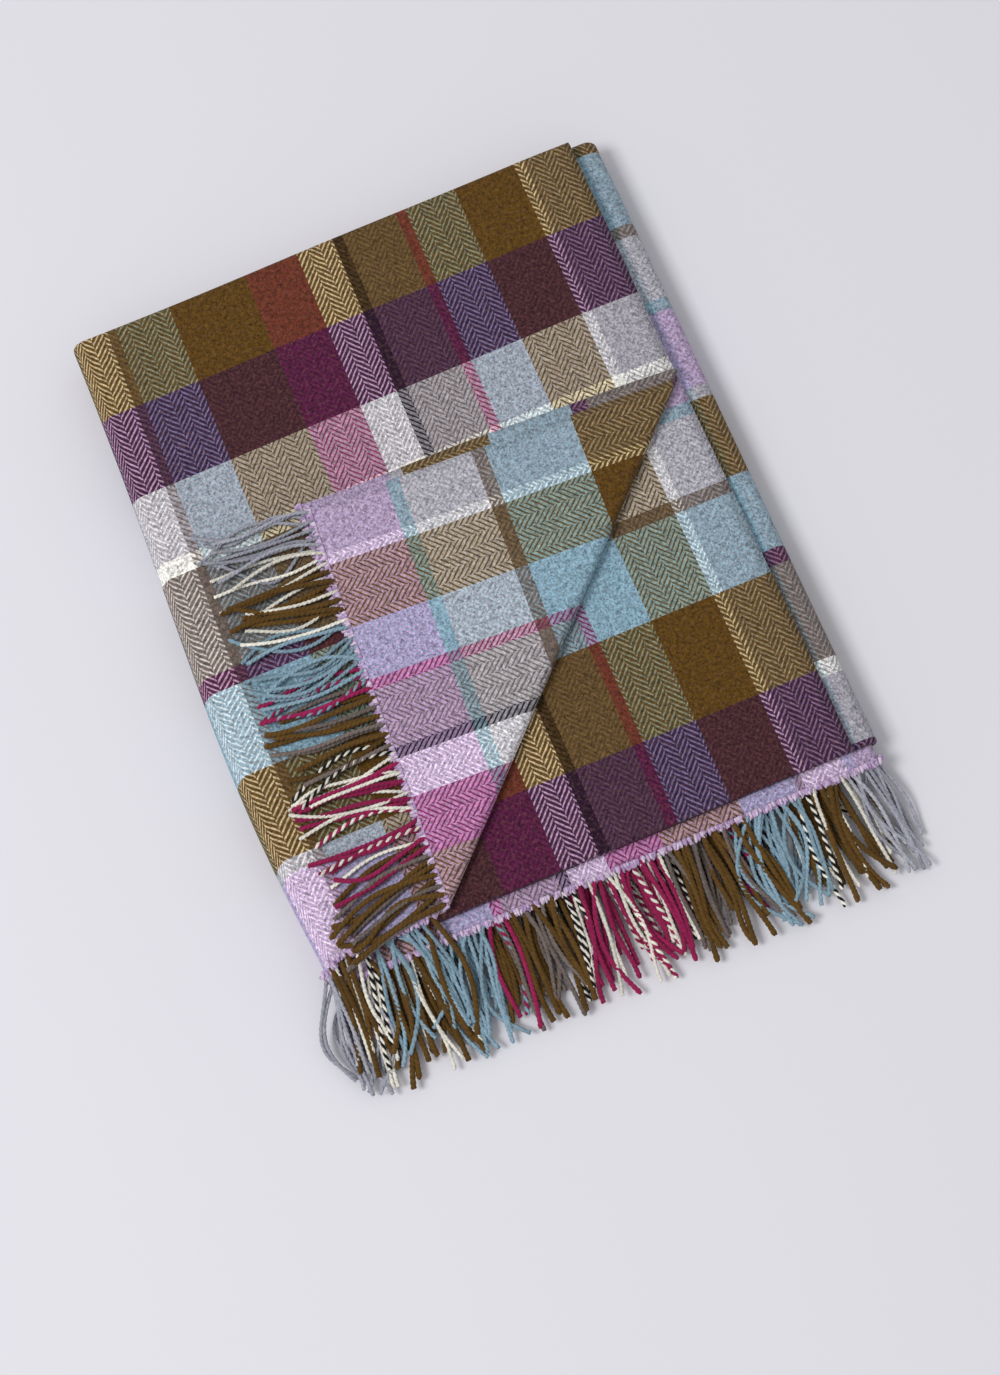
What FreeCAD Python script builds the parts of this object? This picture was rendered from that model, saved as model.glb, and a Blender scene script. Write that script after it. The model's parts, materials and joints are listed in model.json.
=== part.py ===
import FreeCAD, Part

import math
import os

# A woven throw, folded twice crosswise and then three times lengthwise into a stack of sixteen
# layers, with one corner of the top two layers turned back and twisted fringe on both hems.
# Millimetres. +X across the folded throw, +Y towards its folded end, +Z up. The fringe is at -Y.
# It is drawn with x = 0 at the left fold and y = 0 at the bottom fold, then moved at the end so
# that the origin is under the middle of the whole throw, at the height it rests on.

# ---- driving dimensions ------------------------------------------------------------------------
PLY = 2.1             # thickness of one layer of cloth as it lies in the stack
FOLDED_LENGTH = 450.0  # from the bottom fold to the top fold
CLOTH_WIDTH = 1420.0  # the woven width, which the four quarters share
CREASE_LEFT = (82.5, 3.4)   # where the turned corner's crease meets the hem
CREASE_RIGHT = (353.0, 267.0)  # where it meets the selvedge
CORNER_SHEAR = 0.058  # how far the loose corner has slipped along its crease, per mm from it
GAP = 0.3             # clearance between the turned corner and the stack under it
FRINGE_LENGTH = 76.0  # hem to tip
FRINGE_DIAMETER = 3.6  # one twisted bundle of warp ends
FRINGE_PITCH = 10.0   # from one bundle to the next along one hem
FRINGE_INSET = 4.0    # from the edge of a layer to the middle of its first bundle

# The four lengthwise quarters of the cloth, from the bottom of the stack to the top:
# number, left edge, right edge, how far the hems reach past the bottom fold, height of fringe tips.
QUARTERS = (
    (4, 6.0, 337.0, 6.0, 2.0),
    (3, 6.0, 371.0, 8.0, 5.9),
    (2, 0.0, 371.0, 11.0, 9.9),
    (1, 0.0, 353.0, -3.4, 17.5),
)
# Each quarter's four plies are numbered along the cloth from the first hem. This is their order
# from the bottom up. Every second quarter is turned over, so it has them the other way up.
PLIES_UP = (3, 2, 1, 4)

# ---- dimensions worked out from them -----------------------------------------------------------
QUARTER_HEIGHT = 4 * PLY
STACK_TOP = 4 * QUARTER_HEIGHT
TOP_ROLL_Y = FOLDED_LENGTH - 2 * PLY     # centre of both folds at the top end
BOTTOM_ROLL_Y = PLY                      # centre of the fold at the bottom end
SIDE_ROLL = 4 * PLY                      # outer radius of a fold between two quarters
CREASE_ROLL = 2 * PLY                    # outer radius of the turned corner's crease
CORNER_PLY = (2 * PLY - 2 * GAP) / 2     # so that the corner also lies in its place when flat
CORNER_START = CREASE_ROLL + GAP         # from the crease's axis to the edge of the corner's plies
UP = FreeCAD.Vector(0, 0, 1)

made = {}


def vector(x, y, z=0.0):
    return FreeCAD.Vector(x, y, z)


def half_ring(centre, bulge, along, inner, outer):
    """A layer of cloth going round a fold: half a ring that bulges one way, drawn out along it."""
    top, bottom = centre + UP * outer, centre - UP * outer
    edges = [Part.Arc(top, centre + bulge * outer, bottom).toShape()]
    if inner > 0:
        low, high = centre - UP * inner, centre + UP * inner
        edges += [
            Part.makeLine(bottom, low),
            Part.Arc(low, centre + bulge * inner, high).toShape(),
            Part.makeLine(high, top),
        ]
    else:
        edges.append(Part.makeLine(bottom, top))
    return Part.Face(Part.Wire(edges)).extrude(along)


def prism(outline, low, high):
    """A flat panel with this outline between two heights."""
    corners = [vector(x, y, low) for x, y in outline]
    return Part.Face(Part.makePolygon(corners + corners[:1])).extrude(UP * (high - low))


def bundle(start, end):
    """One twisted bundle of fringe, as a plain rod."""
    return Part.makeCylinder(FRINGE_DIAMETER / 2, start.distanceToPoint(end), start, end - start)


# ---- the crease of the turned corner -----------------------------------------------------------
crease_dir = (vector(*CREASE_RIGHT) - vector(*CREASE_LEFT)).normalize()
crease_out = vector(crease_dir.y, -crease_dir.x)  # level, away from the stack's middle
axis_left = vector(*CREASE_LEFT) - crease_out * CREASE_ROLL


def crease_at(x=None, y=None):
    """The point of the crease's axis at this x or at this y."""
    reach = (x - axis_left.x) / crease_dir.x if y is None else (y - axis_left.y) / crease_dir.y
    point = axis_left + crease_dir * reach
    return (point.x, point.y)


def turned(x, y):
    """Where a point of the corner lies once the corner is turned back over its crease."""
    away = (vector(x, y) - axis_left).dot(crease_out)
    along = (vector(x, y) - axis_left).dot(crease_dir)
    reach = max(away - math.pi * (CREASE_ROLL - CORNER_PLY / 2), CORNER_START)
    point = axis_left + crease_dir * (along + CORNER_SHEAR * reach) - crease_out * reach
    return (point.x, point.y)


# ---- the stack ---------------------------------------------------------------------------------
def layer_heights(place, turned_over):
    """(ply number, low, high) of a quarter's four plies, from the bottom up."""
    order = reversed(PLIES_UP) if turned_over else PLIES_UP
    low = place * QUARTER_HEIGHT
    return [(ply, low + i * PLY, low + (i + 1) * PLY) for i, ply in enumerate(order)]


def side_roll_side(place):
    """-1 where this quarter goes round a fold on the left to the one above it, 1 on the right."""
    return -1 if place % 2 == 0 else 1


def quarter_span(place):
    """The x range of a quarter's flat part, less the folds that lead to its neighbours."""
    _, left, right, _, _ = QUARTERS[place]
    folds = [side_roll_side(p) for p in (place - 1, place) if 0 <= p < len(QUARTERS) - 1]
    low = left + (SIDE_ROLL if -1 in folds else 0.0)
    high = right - (SIDE_ROLL if 1 in folds else 0.0)
    return low, high


def ply_outline(place, ply):
    """The flat outline of one ply, with the corner taken off where it is turned back."""
    left, right = quarter_span(place)
    hem = -QUARTERS[place][3]
    start = hem if ply in (1, 4) else BOTTOM_ROLL_Y
    if place == len(QUARTERS) - 1 and ply in (1, 4):
        cut = [crease_at(y=start), crease_at(x=right)]
    else:
        cut = [(right, start)]
    return [(left, start), *cut, (right, TOP_ROLL_Y), (left, TOP_ROLL_Y)]


def make_quarter(place):
    """A quarter's four plies and the three folds that join them end to end."""
    name = f"quarter_{QUARTERS[place][0]}"
    heights = layer_heights(place, place % 2 == 0)
    for ply, low, high in heights:
        made[f"{name}_ply_{ply}"] = prism(ply_outline(place, ply), low, high)
    left, right = quarter_span(place)
    along = vector(right - left, 0)
    middle = (place + 0.5) * QUARTER_HEIGHT
    top = vector(left, TOP_ROLL_Y, middle)
    made[f"{name}_inner_top_fold"] = half_ring(top, vector(0, 1), along, 0, PLY)
    made[f"{name}_outer_top_fold"] = half_ring(top, vector(0, 1), along, PLY, 2 * PLY)
    low_pair = [low for ply, low, high in heights if ply in (2, 3)]
    bottom = vector(left, BOTTOM_ROLL_Y, max(low_pair))
    made[f"{name}_bottom_fold"] = half_ring(bottom, vector(0, -1), along, 0, PLY)


def make_side_fold(place):
    """The four nested layers that go round from one quarter to the one above it."""
    side = side_roll_side(place)
    edge = QUARTERS[place][2] if side > 0 else QUARTERS[place][1]
    upper_edge = QUARTERS[place + 1][2] if side > 0 else QUARTERS[place + 1][1]
    assert edge == upper_edge, "both quarters of a side fold reach the same edge"
    x = edge - side * SIDE_ROLL
    height = (place + 1) * QUARTER_HEIGHT
    rings = []
    for i, (ply, _, _) in enumerate(layer_heights(place + 1, (place + 1) % 2 == 0)):
        start = 0.0 if ply in (1, 4) else BOTTOM_ROLL_Y
        along = vector(0, TOP_ROLL_Y - start)
        rings.append(half_ring(vector(x, start, height), vector(side, 0), along, i * PLY, (i + 1) * PLY))
    upper, lower = QUARTERS[place + 1][0], QUARTERS[place][0]
    made[f"side_fold_{upper}_{lower}"] = Part.makeCompound(rings)


def make_crease():
    """The top two plies going round the turned corner's crease."""
    left = vector(*crease_at(y=-QUARTERS[-1][3]), STACK_TOP)
    right = vector(*crease_at(x=QUARTERS[-1][2]), STACK_TOP)
    rings = [half_ring(left, crease_out, right - left, i * PLY, (i + 1) * PLY) for i in range(2)]
    made["corner_crease"] = Part.makeCompound(rings)


# ---- the turned corner -------------------------------------------------------------------------
def corner_outline():
    """The corner's triangle as cut from the top plies, turned back over the crease."""
    right, hem = QUARTERS[-1][2], -QUARTERS[-1][3]
    return [turned(*crease_at(y=hem)), turned(right, hem), turned(*crease_at(x=right))]


def make_corner():
    outline = corner_outline()
    low = STACK_TOP + GAP
    for i, ply in enumerate((4, 1)):
        made[f"corner_ply_{ply}"] = prism(outline, low + i * CORNER_PLY, low + (i + 1) * CORNER_PLY)


# ---- fringe ------------------------------------------------------------------------------------
def places(first, last, shift):
    """The distances at which one hem's bundles stand between two edges."""
    count = int((last - first - 2 * FRINGE_INSET - shift) / FRINGE_PITCH) + 1
    return [first + FRINGE_INSET + shift + i * FRINGE_PITCH for i in range(count)]


def make_end_fringe(place):
    """The bundles of a quarter's two hems, side by side in one row that slopes down to its tips."""
    number, _, _, reach, tip = QUARTERS[place]
    left, right = quarter_span(place)
    if place == len(QUARTERS) - 1:
        right = crease_at(y=-reach)[0]
    hems = [(ply, low, high) for ply, low, high in layer_heights(place, place % 2 == 0) if ply in (1, 4)]
    height = max(low for _, low, _ in hems)
    drop = height - tip
    forward = math.sqrt(FRINGE_LENGTH**2 - drop**2)
    for i, (ply, _, _) in enumerate(hems):
        rods = []
        for x in places(left, right, i * FRINGE_PITCH / 2):
            start = vector(x, -reach, height)
            rods.append(bundle(start, start + vector(0, -forward, -drop)))
        made[f"quarter_{number}_fringe_ply_{ply}"] = Part.makeCompound(rods)


def make_corner_fringe():
    """The bundles of the corner's two hems, lying on the stack square to the turned hem."""
    low_end, top_end = (vector(*point) for point in corner_outline()[:2])
    hem = (top_end - low_end).normalize()
    outward = vector(-hem.y, hem.x)
    height = STACK_TOP + GAP + CORNER_PLY
    for i, ply in enumerate((1, 4)):
        rods = []
        for s in places(0.0, low_end.distanceToPoint(top_end), i * FRINGE_PITCH / 2):
            start = low_end + hem * s + UP * height
            rods.append(bundle(start, start + outward * FRINGE_LENGTH))
        made[f"corner_fringe_ply_{ply}"] = Part.makeCompound(rods)


# ---- the whole throw ---------------------------------------------------------------------------
for place in range(len(QUARTERS)):
    make_quarter(place)
    make_end_fringe(place)
for place in range(len(QUARTERS) - 1):
    make_side_fold(place)
make_crease()
make_corner()
make_corner_fringe()

assert sum(right - left for _, left, right, _, _ in QUARTERS) == CLOTH_WIDTH
box = Part.makeCompound(list(made.values())).BoundBox
origin = vector(box.Center.x, box.Center.y, box.ZMin)
os.makedirs("parts", exist_ok=True)
for name, shape in made.items():
    shape.translate(-origin)
    assert shape.isValid(), name
    shape.exportStep(f"parts/{name}.step")

axis = vector(*crease_at(x=QUARTERS[-1][2]), STACK_TOP) - origin
print(f"{len(made)} nodes, {sum(len(s.Solids) for s in made.values())} solids")
print(f"overall {box.XLength:.2f} x {box.YLength:.2f} x {box.ZLength:.2f} mm")
print(f"origin in the drawing {origin.x:.3f}, {origin.y:.3f}, {origin.z:.3f}")
print(f"crease axis through {axis.x:.3f}, {axis.y:.3f}, {axis.z:.3f}")
print(f"along {crease_dir.x:.6f}, {crease_dir.y:.6f}, 0")
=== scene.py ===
import json
import math
import random

import bmesh
import bpy
import numpy as np
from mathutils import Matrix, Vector


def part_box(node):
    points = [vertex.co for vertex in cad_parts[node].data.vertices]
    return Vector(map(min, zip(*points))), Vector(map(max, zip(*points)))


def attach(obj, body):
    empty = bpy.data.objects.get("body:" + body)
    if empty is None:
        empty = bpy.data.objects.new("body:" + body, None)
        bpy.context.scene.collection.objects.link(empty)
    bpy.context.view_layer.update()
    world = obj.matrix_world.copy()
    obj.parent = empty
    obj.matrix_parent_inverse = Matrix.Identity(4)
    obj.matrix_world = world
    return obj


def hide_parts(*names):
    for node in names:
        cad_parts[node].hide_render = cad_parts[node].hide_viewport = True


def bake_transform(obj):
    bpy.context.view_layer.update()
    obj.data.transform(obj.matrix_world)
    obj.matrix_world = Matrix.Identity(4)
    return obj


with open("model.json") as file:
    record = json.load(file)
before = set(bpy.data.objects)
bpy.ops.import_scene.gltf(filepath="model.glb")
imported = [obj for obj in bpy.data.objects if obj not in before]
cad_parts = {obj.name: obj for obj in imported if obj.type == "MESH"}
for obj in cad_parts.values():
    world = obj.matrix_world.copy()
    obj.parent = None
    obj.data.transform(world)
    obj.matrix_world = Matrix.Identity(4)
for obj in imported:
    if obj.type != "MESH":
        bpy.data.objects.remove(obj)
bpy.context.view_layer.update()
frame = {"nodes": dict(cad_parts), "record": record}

# A folded woollen throw. The cloth is one continuous sheet: its grid is laid out in the cloth's own
# coordinates, across and along it, and then folded crosswise, lengthwise and over the turned corner's
# crease, round the CAD layers. Everything is in metres, in the CAD frame.

# ---- the cloth -------------------------------------------------------------------------------
WIDTH, LENGTH = 1.420, 1.786           # flat size between selvedges and between hems
THICKNESS = 0.0019                     # of the cloth, a little under one layer's share of the stack
FOLDS_ALONG = (0.434, 0.882, 1.3465)   # where the crosswise folds lie along the cloth
END, PICK = 0.0010, 0.00105            # from one warp thread to the next, and from one weft thread
RIB = 8                                # warp threads in one column of the herringbone
FIRST_RIB = 4                          # warp threads in the column at the selvedge
STEP = 0.009                           # spacing of the sheet's grid
ROLL_STEPS = 10                        # grid steps round a fold
SECTIONS = 7                           # in either direction: four flat parts and the three folds between
LAST = SECTIONS - 1
FLAP_SLIP = 0.058                      # how far the corner slips along its crease, per metre from it
CREASE_PUFF = 0.0008                   # how much looser than its layers the crease is
SELVEDGE_STAGGER = 0.0045              # how far the turned corner's lower layer shows past the upper one
STAGGER_FROM, STAGGER_FADE = 0.10, 0.07  # from the crease to where that starts to fade, and over how much
SETTLING = 0.05                        # how far from the crease the turned corner comes to lie flat
TURNED_PLIES = {1: 1.5, 4: 0.5}        # the two layers that turn, and how many layers below the top they lie
BULGE_REACH = 0.055                    # how far in from the left folds their bulge reaches
BROAD_SWELL, FINE_SWELL = 0.0011, 0.0006
EDGE_WAVER = 0.0008                    # how far the layers' edges wander sideways
SKEW, SKEW_REACH = 0.012, 0.35         # how much longer the stack is at the right than at the left
SELVEDGE_SINK = 0.0015                 # how far the top sinks towards its selvedge
SIDE_BULGE = 0.0095                    # how far the left folds stand out past their layers
FOLD_SLACK = 2 * SIDE_BULGE            # extra cloth in the first fold, which goes out and back
WARP_SHOWS = 0.37                      # share of the face that is warp; the rest is weft
WEFT_VEIL, WARP_VEIL = 0.15, 0.29      # how strongly the other yarn's fuzz veils weft and warp
MINGLE = 0.28                          # how far a light thread's colour leans to the mean of the two

# Warp stripes from the first selvedge, and weft stripes along the cloth: yarn and width.
WARP = (
    ("dove_grey", 0.0313), ("white", 0.0079), ("mustard", 0.0424), ("light_blue", 0.0349),
    ("magenta", 0.0079), ("taupe", 0.0375), ("black", 0.0080), ("cream", 0.0251),
    ("magenta", 0.0367), ("mustard", 0.0546), ("light_blue", 0.0361), ("taupe", 0.0063),
    ("cream", 0.0285), ("light_blue", 0.0063),
)
WEFT = (
    ("lilac", 0.0580), ("light_blue", 0.0090), ("light_grey", 0.0490), ("taupe", 0.0100),
    ("light_blue", 0.0570), ("mustard", 0.0720), ("plum", 0.0575), ("pale_grey", 0.0485),
    ("white", 0.0095), ("taupe", 0.0715), ("berry", 0.0115), ("light_blue", 0.0555),
    ("mustard", 0.0595), ("pale_grey", 0.0095),
)
WEFT_START = 0.006                     # how far into the first weft stripe the first hem is cut
YARNS = {
    "light_grey": (177, 177, 189), "dove_grey": (150, 150, 160), "white": (232, 232, 228),
    "mustard": (86, 59, 13), "light_blue": (127, 162, 182), "magenta": (132, 24, 66),
    "taupe": (101, 90, 84), "black": (12, 10, 13), "cream": (237, 233, 232),
    "lilac": (183, 153, 203), "plum": (55, 20, 56), "pale_grey": (164, 162, 174),
    "berry": (68, 22, 58),
}


def linear(rgb):
    """An 8-bit screen colour as the linear colour that a shader takes."""
    return [(c / 255 / 12.92 if c < 10 else ((c / 255 + 0.055) / 1.055) ** 2.4) for c in rgb]


# ---- camera, light and floor -----------------------------------------------------------------
CAMERA_PLACE = (-0.097, -0.498, 1.579)
CAMERA_TURN = (15.68, 3.46, -22.46)    # degrees
LENS, SENSOR_WIDTH = 67.3, 36.0        # mm
WINDOW_PLACE, WINDOW_SIZE, WINDOW_POWER = (-2.5, -0.1, 3.7), 1.5, 112
SKY_STRENGTH = 0.60
FLOOR_REACH = 4.0                      # from the middle of the floor to its edges
FLOOR_COLOUR = (217, 216, 223)


def make_camera():
    data = bpy.data.cameras.new("camera")
    data.sensor_width = SENSOR_WIDTH
    data.lens = LENS
    camera = bpy.data.objects.new("camera", data)
    camera.location = CAMERA_PLACE
    camera.rotation_euler = [math.radians(angle) for angle in CAMERA_TURN]
    bpy.context.scene.collection.objects.link(camera)
    bpy.context.scene.camera = camera


def make_window():
    """One large soft light, which looks at the middle of the throw."""
    data = bpy.data.lights.new("window", "AREA")
    data.energy, data.size = WINDOW_POWER, WINDOW_SIZE
    light = bpy.data.objects.new("window", data)
    light.location = WINDOW_PLACE
    light.rotation_euler = (-Vector(WINDOW_PLACE)).to_track_quat("-Z", "Y").to_euler()
    bpy.context.scene.collection.objects.link(light)


def make_sky():
    """Even white light from all round."""
    world = bpy.data.worlds.new("studio")
    world.use_nodes = True
    background = world.node_tree.nodes["Background"]
    background.inputs["Color"].default_value = (1.0, 1.0, 1.0, 1)
    background.inputs["Strength"].default_value = SKY_STRENGTH
    bpy.context.scene.world = world


def make_floor():
    mesh = bpy.data.meshes.new("floor")
    reach = FLOOR_REACH
    corners = [(-reach, -reach, 0), (reach, -reach, 0), (reach, reach, 0), (-reach, reach, 0)]
    mesh.from_pydata(corners, [], [(0, 1, 2, 3)])
    floor = bpy.data.objects.new("floor", mesh)
    bpy.context.scene.collection.objects.link(floor)
    material = bpy.data.materials.new("floor")
    material.use_nodes = True
    shader = material.node_tree.nodes["Principled BSDF"]
    shader.inputs["Base Color"].default_value = (*linear(FLOOR_COLOUR), 1)
    shader.inputs["Roughness"].default_value = 0.9
    mesh.materials.append(material)


def make_room():
    bpy.context.scene.view_settings.view_transform = "Standard"
    make_sky()
    make_window()
    make_floor()


make_camera()
make_room()


# ---- node helpers ----------------------------------------------------------------------------
class Tree:
    """A short way to write shader nodes: each call adds one node and returns an output socket."""

    def __init__(self, name):
        self.material = bpy.data.materials.new(name)
        self.material.use_nodes = True
        self.nodes = self.material.node_tree.nodes
        self.links = self.material.node_tree.links
        self.shader = self.nodes["Principled BSDF"]

    def set(self, socket, value):
        """Links a socket to an input, or gives the input a plain value."""
        if isinstance(value, bpy.types.NodeSocket):
            self.links.new(value, socket)
        else:
            socket.default_value = value

    def node(self, kind, output=0, values=(), **settings):
        """Adds any node, with its inputs by name or number and its other settings by name."""
        made = self.nodes.new(kind)
        for key, value in settings.items():
            setattr(made, key, value)
        for key, value in dict(values).items():
            self.set(made.inputs[key], value)
        return made.outputs[output]

    def math(self, operation, *values):
        return self.node("ShaderNodeMath", 0, enumerate(values), operation=operation)

    def vector(self, x, y, z=0.0):
        return self.node("ShaderNodeCombineXYZ", 0, enumerate((x, y, z)))

    def split(self, vector):
        made = self.nodes.new("ShaderNodeSeparateXYZ")
        self.links.new(vector, made.inputs[0])
        return made.outputs

    def noise(self, vector, scale, detail=2.0, roughness=0.5):
        values = {"Vector": vector, "Scale": scale, "Detail": detail, "Roughness": roughness}
        return self.node("ShaderNodeTexNoise", 0, values)

    def ramp(self, value, low, high, smooth=True):
        kind = "SMOOTHSTEP" if smooth else "LINEAR"
        values = {"Value": value, "From Min": low, "From Max": high}
        return self.node("ShaderNodeMapRange", 0, values, interpolation_type=kind)

    def mix(self, factor, a, b, blend="MIX"):
        made = self.nodes.new("ShaderNodeMix")
        made.data_type, made.blend_type = "RGBA", blend
        self.set(made.inputs[0], factor)
        self.set(made.inputs[6], a)
        self.set(made.inputs[7], b)
        return made.outputs[2]

    def power(self, colour, exponent):
        return self.node("ShaderNodeGamma", 0, {0: colour, 1: exponent})

    def stripes(self, place, sett):
        """The yarn colour at a place along a sett, which repeats."""
        repeat = sum(width for _, width in sett)
        where = self.math("FRACT", self.math("DIVIDE", place, repeat))
        made = self.nodes.new("ShaderNodeValToRGB")
        ramp = made.color_ramp
        ramp.interpolation = "CONSTANT"
        edge = 0.0
        for i, (yarn, width) in enumerate(sett):
            stop = ramp.elements[0] if i == 0 else ramp.elements.new(edge / repeat)
            stop.color = (*linear(YARNS[yarn]), 1)
            edge += width
        ramp.elements.remove(ramp.elements[len(sett)])
        self.links.new(where, made.inputs[0])
        return made.outputs[0]


# ---- wool ------------------------------------------------------------------------------------
# Noise scales are per metre of cloth, or per metre of space on the fringe.
WANDER_SCALE, FUZZ_SCALE, BLOTCH_SCALE, LINT_SCALE = 140.0, 900.0, 330.0, 430.0
FLECK_SCALE, STREAK_SCALE = 1500.0, 320.0
WANDER = 0.35                          # how far the slanting lines stray, in parts of their spacing
FLECK, BLOTCH = 0.7, 1.7               # weight of single threads and of blotches against fuzz
SHADE_RANGE = (1.08, 2.27)             # the sums of the three that are darkest and lightest
CLOTH_DARK, CLOTH_LIGHT = (0.42, 0.42, 0.43, 1), (1.52, 1.50, 1.46, 1)
LINT, LINT_RANGE = 0.22, (0.48, 0.68)  # how strongly lint shows, and the range of noise it grows over
LINT_COLOUR = (132, 96, 80)
GREY_FUZZ = 0.3                        # how much greyer fuzz is than its yarn
DARK_CLOTH, LIGHT_CLOTH = 0.015, 0.10  # linear brightness that is taken as dark and as light
DARK_CONTRAST, LIGHT_CONTRAST = 0.5, 1.75  # how far threads stand out in dark and in light cloth
DARK_MINGLE = 0.85                     # what MINGLE becomes in dark cloth
FRINGE_DARK, FRINGE_LIGHT = (0.55, 0.55, 0.57, 1), (1.38, 1.36, 1.33, 1)
HAIR_HEIGHT = 0.0006                   # of the relief in both materials


def set_wool_surface(t, relief, strength):
    """The matt, slightly downy surface that cloth and fringe share."""
    bump = t.node("ShaderNodeBump", 0, {"Height": relief, "Strength": strength, "Distance": HAIR_HEIGHT})
    t.set(t.shader.inputs["Normal"], bump)
    t.shader.inputs["Roughness"].default_value = 0.95
    t.shader.inputs["Specular IOR Level"].default_value = 0.15
    t.shader.inputs["Sheen Weight"].default_value = 0.06
    t.shader.inputs["Sheen Roughness"].default_value = 0.5


def veiled(t, yarn, other, strength):
    """A yarn seen through the other yarn's fuzz. Dark fuzz hides more than light, so the two mix as
    powers, and the fuzz is greyer than its yarn."""
    grey = t.node("ShaderNodeRGBToBW", 0, {0: other})
    grey_fuzz = t.power(t.vector(grey, grey, grey), strength)
    fuzz = t.mix(GREY_FUZZ, t.power(other, strength), grey_fuzz)
    return t.mix(1.0, t.power(yarn, 1 - strength), fuzz, "MULTIPLY")


def crossed(t, rib, weft, warp):
    """The cloth's colour where warp and weft of two colours cross. Each is veiled by the other's fuzz,
    and every thread leans to the mean colour but keeps its own brightness. In dark cloth it leans
    further and stands out less."""
    weft_thread = veiled(t, weft, warp, WEFT_VEIL)
    warp_thread = veiled(t, warp, weft, WARP_VEIL)
    thread = t.mix(rib, weft_thread, warp_thread)
    mean = t.mix(WARP_SHOWS, weft_thread, warp_thread)
    brightness, mean_brightness = (t.node("ShaderNodeRGBToBW", 0, {0: c}) for c in (thread, mean))
    lightness = t.ramp(mean_brightness, DARK_CLOTH, LIGHT_CLOTH)
    contrast = t.math("MULTIPLY", lightness, LIGHT_CONTRAST - DARK_CONTRAST)
    contrast = t.math("ADD", DARK_CONTRAST, contrast)
    share = t.math("POWER", t.math("DIVIDE", brightness, mean_brightness), contrast)
    leaning = t.mix(1.0, mean, t.vector(share, share, share), "MULTIPLY")
    mingle = t.math("SUBTRACT", DARK_MINGLE, t.math("MULTIPLY", lightness, DARK_MINGLE - MINGLE))
    return t.mix(mingle, thread, leaning)


def herringbone(t, uv, across, along):
    """1 where warp lies on top and 0 where weft does: slanting lines that turn back in every column."""
    column = t.math("FLOOR", t.math("DIVIDE", across, float(RIB)))
    odd = t.math("FLOORED_MODULO", column, 2.0)
    slant = t.math("SUBTRACT", 1.0, t.math("MULTIPLY", odd, 2.0))
    phase = t.math("DIVIDE", t.math("ADD", along, t.math("MULTIPLY", slant, across)), 4.0)
    phase = t.math("ADD", phase, t.math("MULTIPLY", odd, 0.5))
    stray = t.math("SUBTRACT", t.noise(uv, WANDER_SCALE, 1.0), 0.5)
    phase = t.math("ADD", phase, t.math("MULTIPLY", stray, WANDER))
    wave = t.math("ABSOLUTE", t.math("SUBTRACT", t.math("FRACT", phase), 0.5))
    return t.ramp(wave, 0.42 - WARP_SHOWS / 2, 0.58 - WARP_SHOWS / 2)


def mottled(t, uv, cell, fuzz, colour):
    """A colour made uneven by thread, by fuzz and by blotches, with a little lint on top."""
    fleck = t.math("MULTIPLY", t.node("ShaderNodeTexWhiteNoise", 0, {"Vector": cell}), FLECK)
    blotch = t.math("MULTIPLY", t.noise(uv, BLOTCH_SCALE, 2.0, 0.6), BLOTCH)
    shade = t.math("ADD", fleck, t.math("ADD", fuzz, blotch))
    bright = t.ramp(shade, *SHADE_RANGE, smooth=False)
    dark = t.mix(1.0, colour, CLOTH_DARK, "MULTIPLY")
    light = t.mix(1.0, colour, CLOTH_LIGHT, "MULTIPLY")
    lint = t.math("MULTIPLY", t.ramp(t.noise(uv, LINT_SCALE, 2.0, 0.7), *LINT_RANGE), LINT)
    return t.mix(lint, t.mix(bright, dark, light), (*linear(LINT_COLOUR), 1))


def woven_material():
    """The plaid: a warp order crossed with a weft order, in a herringbone twill."""
    t = Tree("plaid_wool")
    uv = t.node("ShaderNodeUVMap", 0, uv_map="cloth")
    u, v, _ = t.split(uv)
    across = t.math("SUBTRACT", t.math("DIVIDE", u, END), float(FIRST_RIB))
    along = t.math("DIVIDE", v, PICK)
    rib = herringbone(t, uv, across, along)
    warp = t.stripes(u, WARP)
    weft = t.stripes(t.math("ADD", v, WEFT_START), WEFT)
    cell = t.vector(t.math("FLOOR", across), t.math("FLOOR", along))
    fuzz = t.noise(uv, FUZZ_SCALE, 2.0, 0.6)
    colour = mottled(t, uv, cell, fuzz, crossed(t, rib, weft, warp))
    t.set(t.shader.inputs["Base Color"], colour)
    relief = t.math("ADD", t.math("MULTIPLY", rib, 0.5), t.math("MULTIPLY", fuzz, 0.9))
    set_wool_surface(t, relief, 0.55)
    return t.material


def fringe_material():
    """Soft spun wool: each strand in its own yarn's colour, flecked and slightly hairy."""
    t = Tree("fringe_wool")
    yarn = t.node("ShaderNodeAttribute", 0, attribute_name="yarn")
    place = t.node("ShaderNodeTexCoord", 3)
    fleck = t.noise(place, FLECK_SCALE, 2.0, 0.7)
    streak = t.math("MULTIPLY", t.noise(place, STREAK_SCALE, 2.0), 0.6)
    bright = t.ramp(t.math("ADD", fleck, streak), 0.5, 1.15, smooth=False)
    dark = t.mix(1.0, yarn, FRINGE_DARK, "MULTIPLY")
    light = t.mix(1.0, yarn, FRINGE_LIGHT, "MULTIPLY")
    t.set(t.shader.inputs["Base Color"], t.mix(bright, dark, light))
    set_wool_surface(t, fleck, 0.6)
    return t.material


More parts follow.
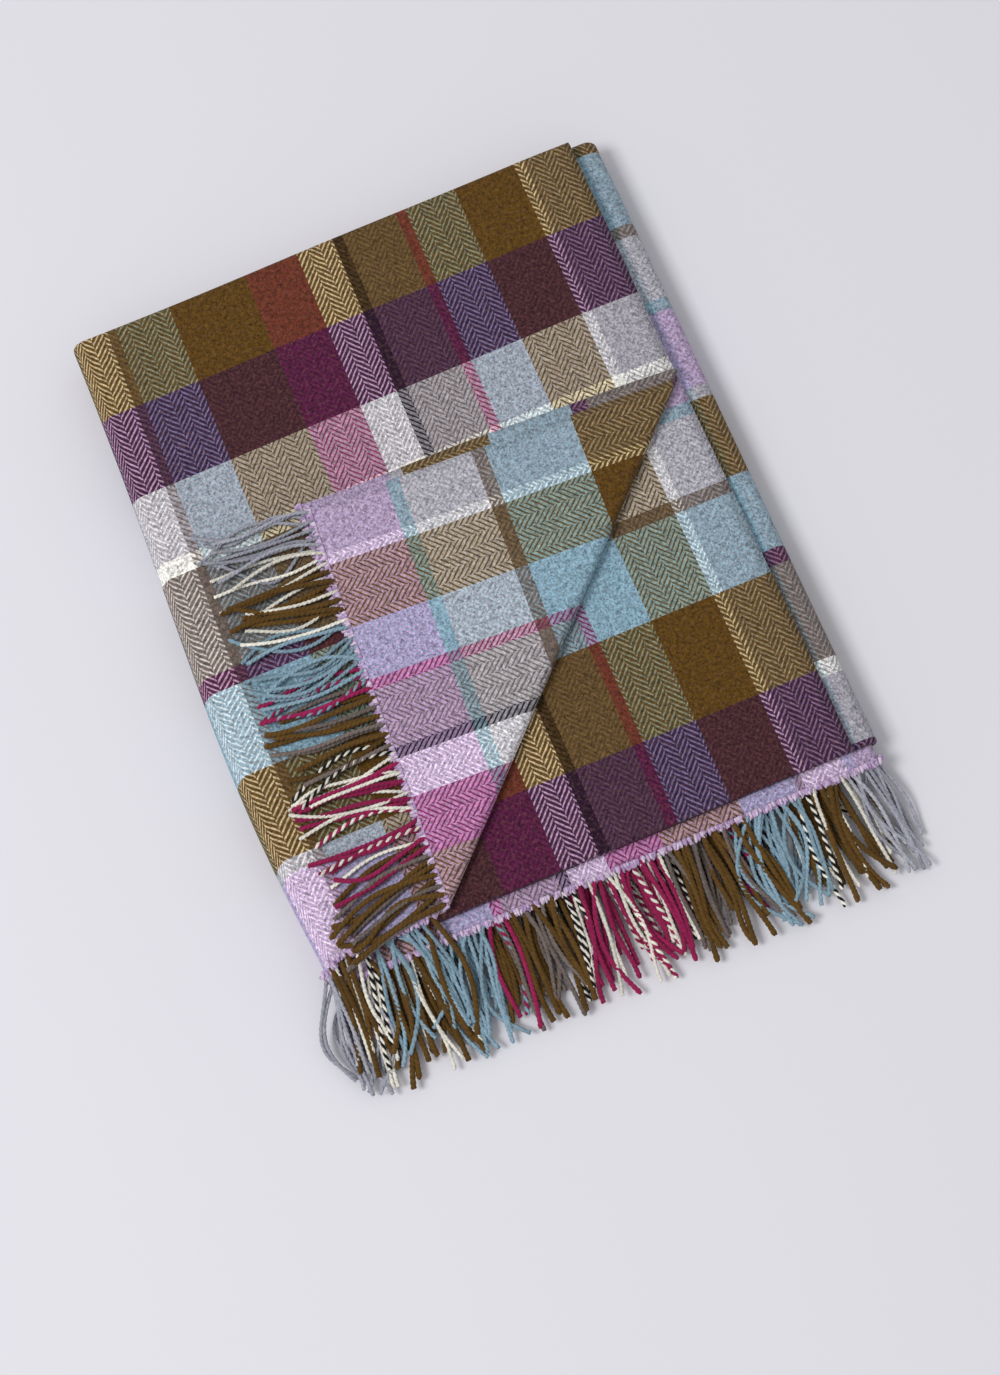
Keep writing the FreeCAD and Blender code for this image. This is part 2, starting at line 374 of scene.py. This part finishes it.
# ---- the layers, read from the CAD -----------------------------------------------------------
class Quarter:
    """One lengthwise quarter of the folded cloth: the span of its flat part and its heights."""

    def __init__(self, number):
        low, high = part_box(f"quarter_{number}_ply_2")
        under, over = (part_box(f"quarter_{number}_ply_{ply}") for ply in (3, 4))
        self.left, self.right = low.x, high.x
        self.bottom, self.top = low.y, high.y
        self.hem = over[0].y
        self.turned_over = over[0].z < under[0].z
        self.base = min(over[0].z, under[0].z)


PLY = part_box("quarter_1_ply_2")[1].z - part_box("quarter_1_ply_2")[0].z
QUARTERS = [Quarter(number) for number in (1, 2, 3, 4)]
STACK_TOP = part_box("quarter_1_ply_4")[1].z
STACK_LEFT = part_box("side_fold_1_2")[0].x
STACK_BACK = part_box("quarter_1_outer_top_fold")[1].y
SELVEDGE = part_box("quarter_1_ply_4")[1].x
FOLD_12 = SELVEDGE - STACK_LEFT + FOLD_SLACK
FOLD_23 = FOLD_12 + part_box("side_fold_2_3")[1].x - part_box("side_fold_1_2")[0].x
FOLD_34 = FOLD_23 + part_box("side_fold_2_3")[1].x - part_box("side_fold_3_4")[0].x

hinge = frame["record"]["behaviour"]["joints"][0]
CREASE_POINT = Vector(hinge["pos_m"])
CREASE_ALONG = Vector(hinge["axis"])
CREASE_OUT = Vector((CREASE_ALONG.y, -CREASE_ALONG.x, 0))


# ---- folding the cloth -----------------------------------------------------------------------
def rows():
    """(section, how far through it, place along the cloth) for each row of the grid."""
    half = (math.pi * PLY / 4, math.pi * PLY / 4, 3 * math.pi * PLY / 4)  # half of each fold's arc
    edges = [0.0]
    for fold, arc in zip(FOLDS_ALONG, half):
        edges += [fold - arc, fold + arc]
    edges.append(LENGTH)
    found = []
    for section in range(SECTIONS):
        start, end = edges[section], edges[section + 1]
        steps = ROLL_STEPS if section % 2 else round((end - start) / STEP)
        last = steps + 1 if section == LAST else steps
        found += [(section, i / steps, start + (end - start) * i / steps) for i in range(last)]
    return found


def columns():
    """(section, how far through it) for each column of the grid."""
    found = []
    for section in range(SECTIONS):
        quarter = QUARTERS[section // 2]
        steps = ROLL_STEPS if section % 2 else round((quarter.right - quarter.left) / STEP)
        last = steps + 1 if section == LAST else steps
        found += [(section, i / steps) for i in range(last)]
    return found


def crosswise(section, t, hem, bottom, top):
    """(y, height in layers) of a row in a quarter that lies the right way up."""
    turn = math.pi * t
    if section == 0:
        return hem + (top - hem) * t, 2.5
    if section == 1:
        return top + 0.5 * PLY * math.sin(turn), 2 + 0.5 * math.cos(turn)
    if section == 2:
        return top + (bottom - top) * t, 1.5
    if section == 3:
        return bottom - 0.5 * PLY * math.sin(turn), 1 + 0.5 * math.cos(turn)
    if section == 4:
        return bottom + (top - bottom) * t, 0.5
    if section == 5:
        return top + 1.5 * PLY * math.sin(turn), 2 - 1.5 * math.cos(turn)
    return top + (hem - top) * t, 3.5


def folded(row, column):
    """(place in the frame, place across the cloth) of one grid point, before the corner is turned."""
    section, t = column
    number = section // 2
    quarter = QUARTERS[number]
    if section % 2 == 0:
        y, layers = crosswise(row[0], row[1], quarter.hem, quarter.bottom, quarter.top)
        z = quarter.base + (4 - layers if quarter.turned_over else layers) * PLY
        x = quarter.left + (quarter.right - quarter.left) * (t if number % 2 else 1 - t)
        slack = FOLD_SLACK if number == 1 else 0.0
        start = fold_across(number, layers) + arc_at(number, layers) / 2 + slack
        end = fold_across(number + 1, layers) - arc_at(number + 1, layers) / 2
        return (x, y, z), start + (end - start) * t
    fold = number + 1
    below = QUARTERS[fold]
    hem = quarter.hem + (below.hem - quarter.hem) * t
    y, layers = crosswise(row[0], row[1], hem, quarter.bottom, quarter.top)
    arc = arc_at(fold, layers)
    taken = arc + (FOLD_SLACK if fold == 1 else 0.0)
    side = 1 if fold == 2 else -1
    centre = quarter.right if side > 0 else quarter.left
    x = centre + side * arc / math.pi * math.sin(math.pi * t)
    z = quarter.base + arc / math.pi * math.cos(math.pi * t)
    start = fold_across(fold, layers) - arc / 2
    return (x, y, z), start + taken * t


def fold_across(fold, layers):
    """Where a lengthwise fold lies across the cloth. At the first one the layers slip past each other,
    so that the top quarter's stripes stay in line."""
    if fold == 1:
        return SELVEDGE - QUARTERS[0].left + arc_at(1, layers) / 2
    return (0.0, FOLD_12, FOLD_23, FOLD_34, WIDTH)[fold]


def arc_at(fold, layers):
    """The length of a layer's arc round a lengthwise fold. The middle fold turns the other way."""
    if fold in (0, 4):
        return 0.0
    return math.pi * PLY * (4 - layers if fold == 2 else layers)


def turn_corner(place, ply):
    """Where a point of the top two layers goes when the corner is turned, and how far it has turned."""
    offset = place - CREASE_POINT
    away = offset.dot(CREASE_OUT)
    if away <= 0:
        return place, 0.0
    depth = TURNED_PLIES[ply] * PLY
    radius = depth + CREASE_PUFF
    along = offset.dot(CREASE_ALONG)
    arc = math.pi * radius
    lift = place.z - (STACK_TOP - depth)
    if away < arc:
        turn = away / radius
        reach, height = radius * math.sin(turn), -(radius + lift) * math.cos(turn)
        share = turn / math.pi
    else:
        reach, height = arc - away, radius + lift
        share = 1.0
        height -= 2 * CREASE_PUFF * smooth(-reach / SETTLING)
    slip = FLAP_SLIP * max(0.0, -reach)
    if ply == 4:
        slip += SELVEDGE_STAGGER * share * (1 - smooth((-reach - STAGGER_FROM) / STAGGER_FADE))
    middle = CREASE_POINT + CREASE_ALONG * (along + slip)
    return middle + CREASE_OUT * reach + Vector((0, 0, height + CREASE_PUFF)), share


def cut_along_crease(bm, layer):
    """Cuts the top two layers along the crease, so that its roll is smooth."""
    for ply, depth in TURNED_PLIES.items():
        radius = depth * PLY + CREASE_PUFF
        for step in range(ROLL_STEPS + 1):
            distance = math.pi * radius * step / ROLL_STEPS
            faces = [f for f in bm.faces if f[layer] == ply]
            geometry = set(faces)
            for face in faces:
                geometry.update(face.edges)
                geometry.update(face.verts)
            point = CREASE_POINT + CREASE_OUT * distance
            bmesh.ops.bisect_plane(bm, geom=list(geometry), plane_co=point, plane_no=CREASE_OUT)


def smooth(t):
    """A smooth step from 0 to 1 as t goes from 0 to 1."""
    t = min(max(t, 0.0), 1.0)
    return t * t * (3 - 2 * t)


def swell(x, y):
    """How far the top of the stack stands above or below level at a place."""
    broad = math.sin(9.0 * x + 1.0) * math.cos(8.0 * y + 0.4)
    return BROAD_SWELL * broad + FINE_SWELL * math.sin(31.0 * x - 17.0 * y)


def side_bulge(y):
    """How far the left folds stand out past their layers, most at two thirds of the way down."""
    down = min(max((STACK_BACK - y) / (STACK_BACK - QUARTERS[0].bottom), 0.0), 1.0)
    return SIDE_BULGE * (math.sin(math.pi * down ** 1.7) + 0.3 * (1 - down) ** 2)


def soft_shape(place):
    """How hand-folded cloth differs from its flat layers: it swells a little and its edges wander."""
    x, y, z = place
    height = z / STACK_TOP
    x -= side_bulge(y) * smooth((STACK_LEFT + BULGE_REACH - x) / BULGE_REACH)
    z += height * swell(x, y)
    x += EDGE_WAVER * math.sin(11.0 * y + 300.0 * z) * height
    y *= 1 + SKEW * smooth((x - STACK_LEFT) / SKEW_REACH) * height
    z -= SELVEDGE_SINK * smooth((x - SELVEDGE + 0.035) / 0.04) * height
    return Vector((x, y, max(z, THICKNESS / 2)))


def build_sheet(material):
    """The whole cloth. Returns it with each point's share of the corner's turn, and its two hems."""
    grid_rows, grid_columns = rows(), columns()
    bm = bmesh.new()
    ply_layer = bm.faces.layers.int.new("ply")
    cloth = bm.verts.layers.float_vector.new("cloth")
    share = bm.verts.layers.float.new("share")
    grid = []
    for row in grid_rows:
        line = []
        for column in grid_columns:
            place, w = folded(row, column)
            vertex = bm.verts.new(place)
            vertex[cloth] = (w, row[2], 0)
            line.append(vertex)
        grid.append(line)
    first_fold = next(i for i, c in enumerate(grid_columns) if c[0] == 1)
    for i in range(len(grid_rows) - 1):
        for j in range(len(grid_columns) - 1):
            face = bm.faces.new((grid[i][j], grid[i][j + 1], grid[i + 1][j + 1], grid[i + 1][j]))
            if j < first_fold and grid_rows[i][0] in (0, LAST):
                face[ply_layer] = 1 if grid_rows[i][0] == 0 else 4
    cut_along_crease(bm, ply_layer)
    for vertex in bm.verts:
        vertex.tag = False
    for ply in TURNED_PLIES:
        for face in [f for f in bm.faces if f[ply_layer] == ply]:
            for vertex in face.verts:
                if not vertex.tag:
                    vertex.tag = True
                    vertex.co, vertex[share] = turn_corner(vertex.co.copy(), ply)
    for vertex in bm.verts:
        vertex.co = soft_shape(vertex.co)
    bm.normal_update()
    hems = [hem_edge(bm, cloth, share, along) for along in (0.0, LENGTH)]
    return *thicken(bm, cloth, share, material), hems


def hem_edge(bm, cloth, share, along):
    """One hem, sorted across the cloth: place across, point, direction out of the cloth, turn."""
    found = []
    for vertex in bm.verts:
        if abs(vertex[cloth].y - along) < 1e-6:
            for edge in vertex.link_edges:
                inner = edge.other_vert(vertex)
                step = inner[cloth] - vertex[cloth]
                if abs(step.x) < 1e-5 < abs(step.y):
                    out = (vertex.co - inner.co).normalized()
                    found.append((vertex[cloth].x, *vertex.co, *out, vertex[share]))
    return np.array(sorted(found))


def thicken(bm, cloth, share, material):
    """A closed mesh from the middle surface: an upper and a lower face, joined round the edge."""
    bm.verts.ensure_lookup_table()
    bm.verts.index_update()
    count = len(bm.verts)
    middle = np.array([v.co for v in bm.verts])
    normal = np.array([v.normal for v in bm.verts])
    across = np.array([v[cloth] for v in bm.verts])
    turned = np.array([v[share] for v in bm.verts])
    places = np.concatenate([middle + normal * THICKNESS / 2, middle - normal * THICKNESS / 2])
    faces = [[v.index for v in f.verts] for f in bm.faces]
    faces += [[i + count for i in reversed(f)] for f in faces]
    for edge in bm.edges:
        if edge.is_boundary:
            loop = edge.link_loops[0]
            a, b = loop.vert.index, loop.link_loop_next.vert.index
            faces.append([b, a, a + count, b + count])
    mesh = bpy.data.meshes.new("throw_cloth")
    mesh.from_pydata([tuple(p) for p in places], [], faces)
    uv = mesh.uv_layers.new(name="cloth")
    corners = np.empty(len(mesh.loops), np.int32)
    mesh.loops.foreach_get("vertex_index", corners)
    flat = np.concatenate([across[:, :2], across[:, :2] + [0, 2 * PICK]])
    uv.data.foreach_set("uv", flat[corners].astype(np.float32).ravel())
    mesh.materials.append(material)
    mesh.shade_smooth()
    sheet = bpy.data.objects.new("throw_cloth", mesh)
    bpy.context.scene.collection.objects.link(sheet)
    return sheet, np.concatenate([turned, turned])


def bend_at_crease(sheet, turned):
    """Sets the sheet's points for a moment to their share of the corner's turn, applies the sheet's own
    transform and puts the points back, so the sheet keeps its shape. The cloth lies back over itself at the
    crease, so no line in the frame tells its two sides apart. The blend eases in and out, which is undone."""
    mesh = sheet.data
    kept = np.empty(len(mesh.vertices) * 3, np.float32)
    mesh.vertices.foreach_get("co", kept)
    even = 0.5 - np.sin(np.arcsin(1 - 2 * np.clip(turned, 0, 1)) / 3)
    laid_out = np.zeros((len(mesh.vertices), 3), np.float32)
    laid_out[:, 2] = even
    mesh.vertices.foreach_set("co", laid_out.ravel())
    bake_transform(sheet)
    mesh.vertices.foreach_set("co", kept)
    mesh.update()


# ---- fringe ----------------------------------------------------------------------------------
FRINGE_LENGTH = 0.070          # of an average bundle, from the hem to its tip
TURN = 0.0064                  # along a bundle, for one full turn of its two strands
RINGS_A_TURN = 6
SIDES = 6
TUFT = 0.0042                  # how far the tufts of weft at the hem stick out
TUFTS_A_BUNDLE = 7
TUFT_RADIUS = 0.0011
FIRST_BUNDLE = 0.003           # from the selvedge to the first bundle
SPACING, SQUEEZE = 0.0032, 0.9  # from one bundle to the next: a fixed part, and a share of its thickness
CURLINESS, MORE_CURLINESS = 0.06, 0.13
CURLY = ("light_blue", "light_grey")
# For the hems of quarters 1 to 4: how high the fringe lies at its tips, and its share of full length.
LIFTS = (0.0085, 0.0062, 0.0042, 0.0024)
LENGTHS = (1.0, 1.0, 0.86, 0.78)
FRINGE_SEED = 11

# How thick a bundle of each yarn is, and its colour, which is mostly paler or greyer than woven.
BUNDLES = {
    "light_grey": (0.0027, (158, 160, 172)), "white": (0.0026, (226, 223, 212)),
    "mustard": (0.0039, (94, 68, 28)), "light_blue": (0.0029, (132, 160, 176)),
    "magenta": (0.0034, (146, 32, 80)), "taupe": (0.0032, (112, 101, 96)),
    "black": (0.0029, (22, 20, 20)), "pale_grey": (0.0028, (176, 178, 188)),
}
# The bundles that each warp stripe's ends are gathered into, in turn: stripes borrow from each other.
# A plus stands between the two yarns of a two-coloured bundle.
GATHERED = (
    ("light_grey",), ("white",), ("mustard", "mustard", "white"), ("light_blue",),
    ("magenta+light_blue", "magenta"), ("mustard", "taupe"), ("black+white",), ("magenta", "white"),
    ("magenta", "white", "magenta", "magenta+white", "magenta"), ("taupe", "mustard", "mustard"),
    ("light_blue",), ("black+white",), ("mustard", "white", "mustard"), ("pale_grey",),
)
TUFT_COLOURS = ((196, 172, 208), (214, 196, 220), (178, 150, 192))


def stripe_at(across):
    """The number of the warp stripe at a place across the cloth."""
    place = across % sum(width for _, width in WARP)
    for number, (_, width) in enumerate(WARP):
        place -= width
        if place < 0:
            return number
    return len(WARP) - 1


def round_about(path):
    """Two directions square to a path at every point: level sideways, and up."""
    ahead = np.gradient(path, axis=0)
    ahead /= np.linalg.norm(ahead, axis=1)[:, None]
    side = np.cross(ahead, (0, 0, 1.0))
    side /= np.maximum(np.linalg.norm(side, axis=1), 1e-6)[:, None]
    return side, np.cross(side, ahead)


class Strands:
    """Gathers tubes, each along a path with a radius at every point, into one coloured mesh."""

    def __init__(self, name):
        self.name = name
        self.places, self.faces, self.colours = [], [], []
        self.count = 0

    def add(self, path, radii, colour):
        """Adds one tube, lifted where it would sink into the floor."""
        path[:, 2] = np.maximum(path[:, 2], radii)
        side, up = round_about(path)
        angles = (np.arange(SIDES) * 2 * math.pi / SIDES)[None, :, None]
        ring = side[:, None] * np.cos(angles) + up[:, None] * np.sin(angles)
        self.places.append((path[:, None] + ring * radii[:, None, None]).reshape(-1, 3))
        steps = len(path)
        at = self.count + np.arange(steps * SIDES).reshape(steps, SIDES)
        after = np.roll(at, -1, axis=1)
        quads = np.stack([at[:-1], after[:-1], after[1:], at[1:]], axis=-1).reshape(-1, 4)
        self.faces += quads.tolist() + [at[0, ::-1].tolist(), at[-1].tolist()]
        self.colours.append(np.tile((*colour, 1.0), (steps * SIDES, 1)))
        self.count += steps * SIDES

    def finish(self, material):
        """Makes the mesh object."""
        mesh = bpy.data.meshes.new(self.name)
        mesh.from_pydata(np.concatenate(self.places).tolist(), [], self.faces)
        colours = mesh.color_attributes.new("yarn", "FLOAT_COLOR", "POINT")
        colours.data.foreach_set("color", np.concatenate(self.colours).astype(np.float32).ravel())
        mesh.materials.append(material)
        mesh.shade_smooth()
        piece = bpy.data.objects.new(self.name, mesh)
        bpy.context.scene.collection.objects.link(piece)
        return piece


def drift(x):
    """How bundles lean sideways together, so that they gather into clumps with gaps between them."""
    return 0.11 * math.sin(92.0 * x + 0.6) + 0.06 * math.sin(151.0 * x + 2.1) + 0.05 * math.sin(31.0 * x)


def fan(x):
    """How far the end fringe splays outwards at the stack's two sides."""
    right = QUARTERS[1].right
    to_right = 0.30 * smooth((x - right + 0.05) / 0.06)
    to_left = 0.20 * smooth((STACK_LEFT + 0.085 - x) / 0.085)
    return to_right - to_left


def bundle_path(root, out, length, lean, curliness, turned_back, lift, rng):
    """The line of one bundle from its hem to its tip, and how far along it each point is. A turned-back
    bundle drops onto the stack at once, and an end bundle sinks over most of its length."""
    s = np.linspace(0, 1, int(length / TURN * RINGS_A_TURN) + 1)
    out = np.array((out[0], out[1], 0.0)) / math.hypot(out[0], out[1])
    side = np.array((-out[1], out[0], 0.0))
    lean += drift(root.dot(side)) + rng.gauss(0, 0.05)
    curl, wiggle, phase = rng.gauss(0, curliness), rng.gauss(0, 0.4 * curliness), rng.uniform(0, 6)
    wave = np.sin(2 * math.pi * s + phase) - math.sin(phase)
    sideways = lean * s ** 1.3 + curl * np.sin(math.pi * s) + wiggle * wave * s
    path = root + length * (out * (s - 0.03)[:, None] + side * sideways[:, None])
    if turned_back:
        ground = np.array([STACK_TOP + swell(x, y) for x, y in path[:, :2]]) + lift
        fall = np.clip(1 - s / 0.22, 0, 1) ** 2
    else:
        ground = np.full(len(s), lift)
        fall = np.clip(1 - s / 0.8, 0, 1) ** 1.6
    path[:, 2] = ground + (root[2] - ground) * fall + 0.0008 * np.sin(8 * s + rng.uniform(0, 6)) * s
    return path, s


def add_bundle(strands, path, s, yarns, thickness, rng):
    """Two strands turning round each other, a little wider towards the tip."""
    side, up = round_about(path)
    turn = s * len(s) / RINGS_A_TURN * 2 * math.pi + rng.uniform(0, 6)
    waist = np.clip(0.5 + s / 0.1, 0, 1) * np.where(s > 0.94, 1 + 3.5 * (s - 0.94), 1.0)
    tint = rng.uniform(0.84, 1.14)
    spread = 0.15 if yarns[0] == yarns[-1] else 0.2
    for i, yarn in enumerate((yarns[0], yarns[-1])):
        round_it = side * np.cos(turn + i * math.pi)[:, None] + up * np.sin(turn + i * math.pi)[:, None]
        line = path + round_it * (thickness * spread * waist)[:, None]
        radii = thickness * (0.5 - spread) * waist * np.where(s > 0.98, 0.8, 1.0)
        strands.add(line, radii, [c * tint for c in linear(BUNDLES[yarn][1])])


def add_tufts(strands, root, out, rng):
    """Short soft ends of weft that fluff out on both sides of a bundle."""
    side = np.array((-out[1], out[0], 0.0))
    for _ in range(TUFTS_A_BUNDLE):
        reach = TUFT * rng.uniform(0.5, 1.2)
        s = np.linspace(0, 1, 6)
        start = root + side * rng.uniform(-0.0045, 0.0045) - out * 0.0015
        path = start + reach * (out * s[:, None] + side * (rng.gauss(0, 0.25) * s ** 2)[:, None])
        path[:, 2] += 0.0007 * np.sin(2.5 * s + rng.uniform(0, 3))
        radii = TUFT_RADIUS * np.sqrt(np.clip(1.04 - s ** 3, 0, 1))
        strands.add(path, radii, linear(rng.choice(TUFT_COLOURS)))


def add_fringe(hem, number, end_strands, corner_strands, rng):
    """All bundles of one hem, walking across the cloth. A bundle whose root lies on the crease's roll,
    before it is well over, is left out."""
    across, turns = FIRST_BUNDLE, [number] * len(WARP)
    while across < WIDTH - 0.002:
        stripe = stripe_at(across)
        yarns = GATHERED[stripe][turns[stripe] % len(GATHERED[stripe])].split("+")
        turns[stripe] += 1
        thickness = BUNDLES[yarns[0]][0]
        row = [np.interp(across, hem[:, 0], hem[:, i]) for i in range(1, 8)]
        root, out, share = np.array(row[:3]), np.array(row[3:6]), row[6]
        quarter = min(int((STACK_TOP - root[2]) / (4 * PLY)), 3)
        length = FRINGE_LENGTH * rng.uniform(0.84, 1.1)
        curliness = MORE_CURLINESS if yarns[0] in CURLY else CURLINESS
        strands = None
        if share > 0.4:
            strands = corner_strands
            lift = 0.0018 + (0.0026 if number == 0 else 0.0) + rng.uniform(0, 0.002)
            out = out if share > 0.98 else np.array((-1.0, 0.0, 0.0))
            lean = 0.35 * smooth((QUARTERS[0].bottom + 0.075 - root[1]) / 0.06)
        elif share < 0.02:
            strands = end_strands
            lift = LIFTS[quarter] + rng.uniform(0, 0.0015)
            length *= LENGTHS[quarter]
            lean = fan(root[0])
        if strands is not None:
            turned_back = strands is corner_strands
            path, s = bundle_path(root, out, length, lean, curliness, turned_back, lift, rng)
            add_bundle(strands, path, s, yarns, thickness, rng)
            add_tufts(strands, root, out, rng)
        across += (SPACING + SQUEEZE * thickness) * rng.uniform(0.9, 1.1)


def build_fringe(hems):
    rng = random.Random(FRINGE_SEED)
    end_strands, corner_strands = Strands("end_fringe"), Strands("corner_fringe")
    for number, hem in enumerate(hems):
        add_fringe(hem, number, end_strands, corner_strands, rng)
    wool = fringe_material()
    return end_strands.finish(wool), corner_strands.finish(wool)


cloth_material = woven_material()
sheet, turned, hems = build_sheet(cloth_material)
bend_at_crease(sheet, turned)
end_fringe, corner_fringe = build_fringe(hems)
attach(end_fringe, "stack")
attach(corner_fringe, "corner")
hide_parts(*[n for n in frame["nodes"] if "fringe" not in n])
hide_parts(*[n for n in frame["nodes"] if n.startswith("quarter") and "fringe" in n])
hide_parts(*[n for n in frame["nodes"] if n.startswith("corner_fringe")])
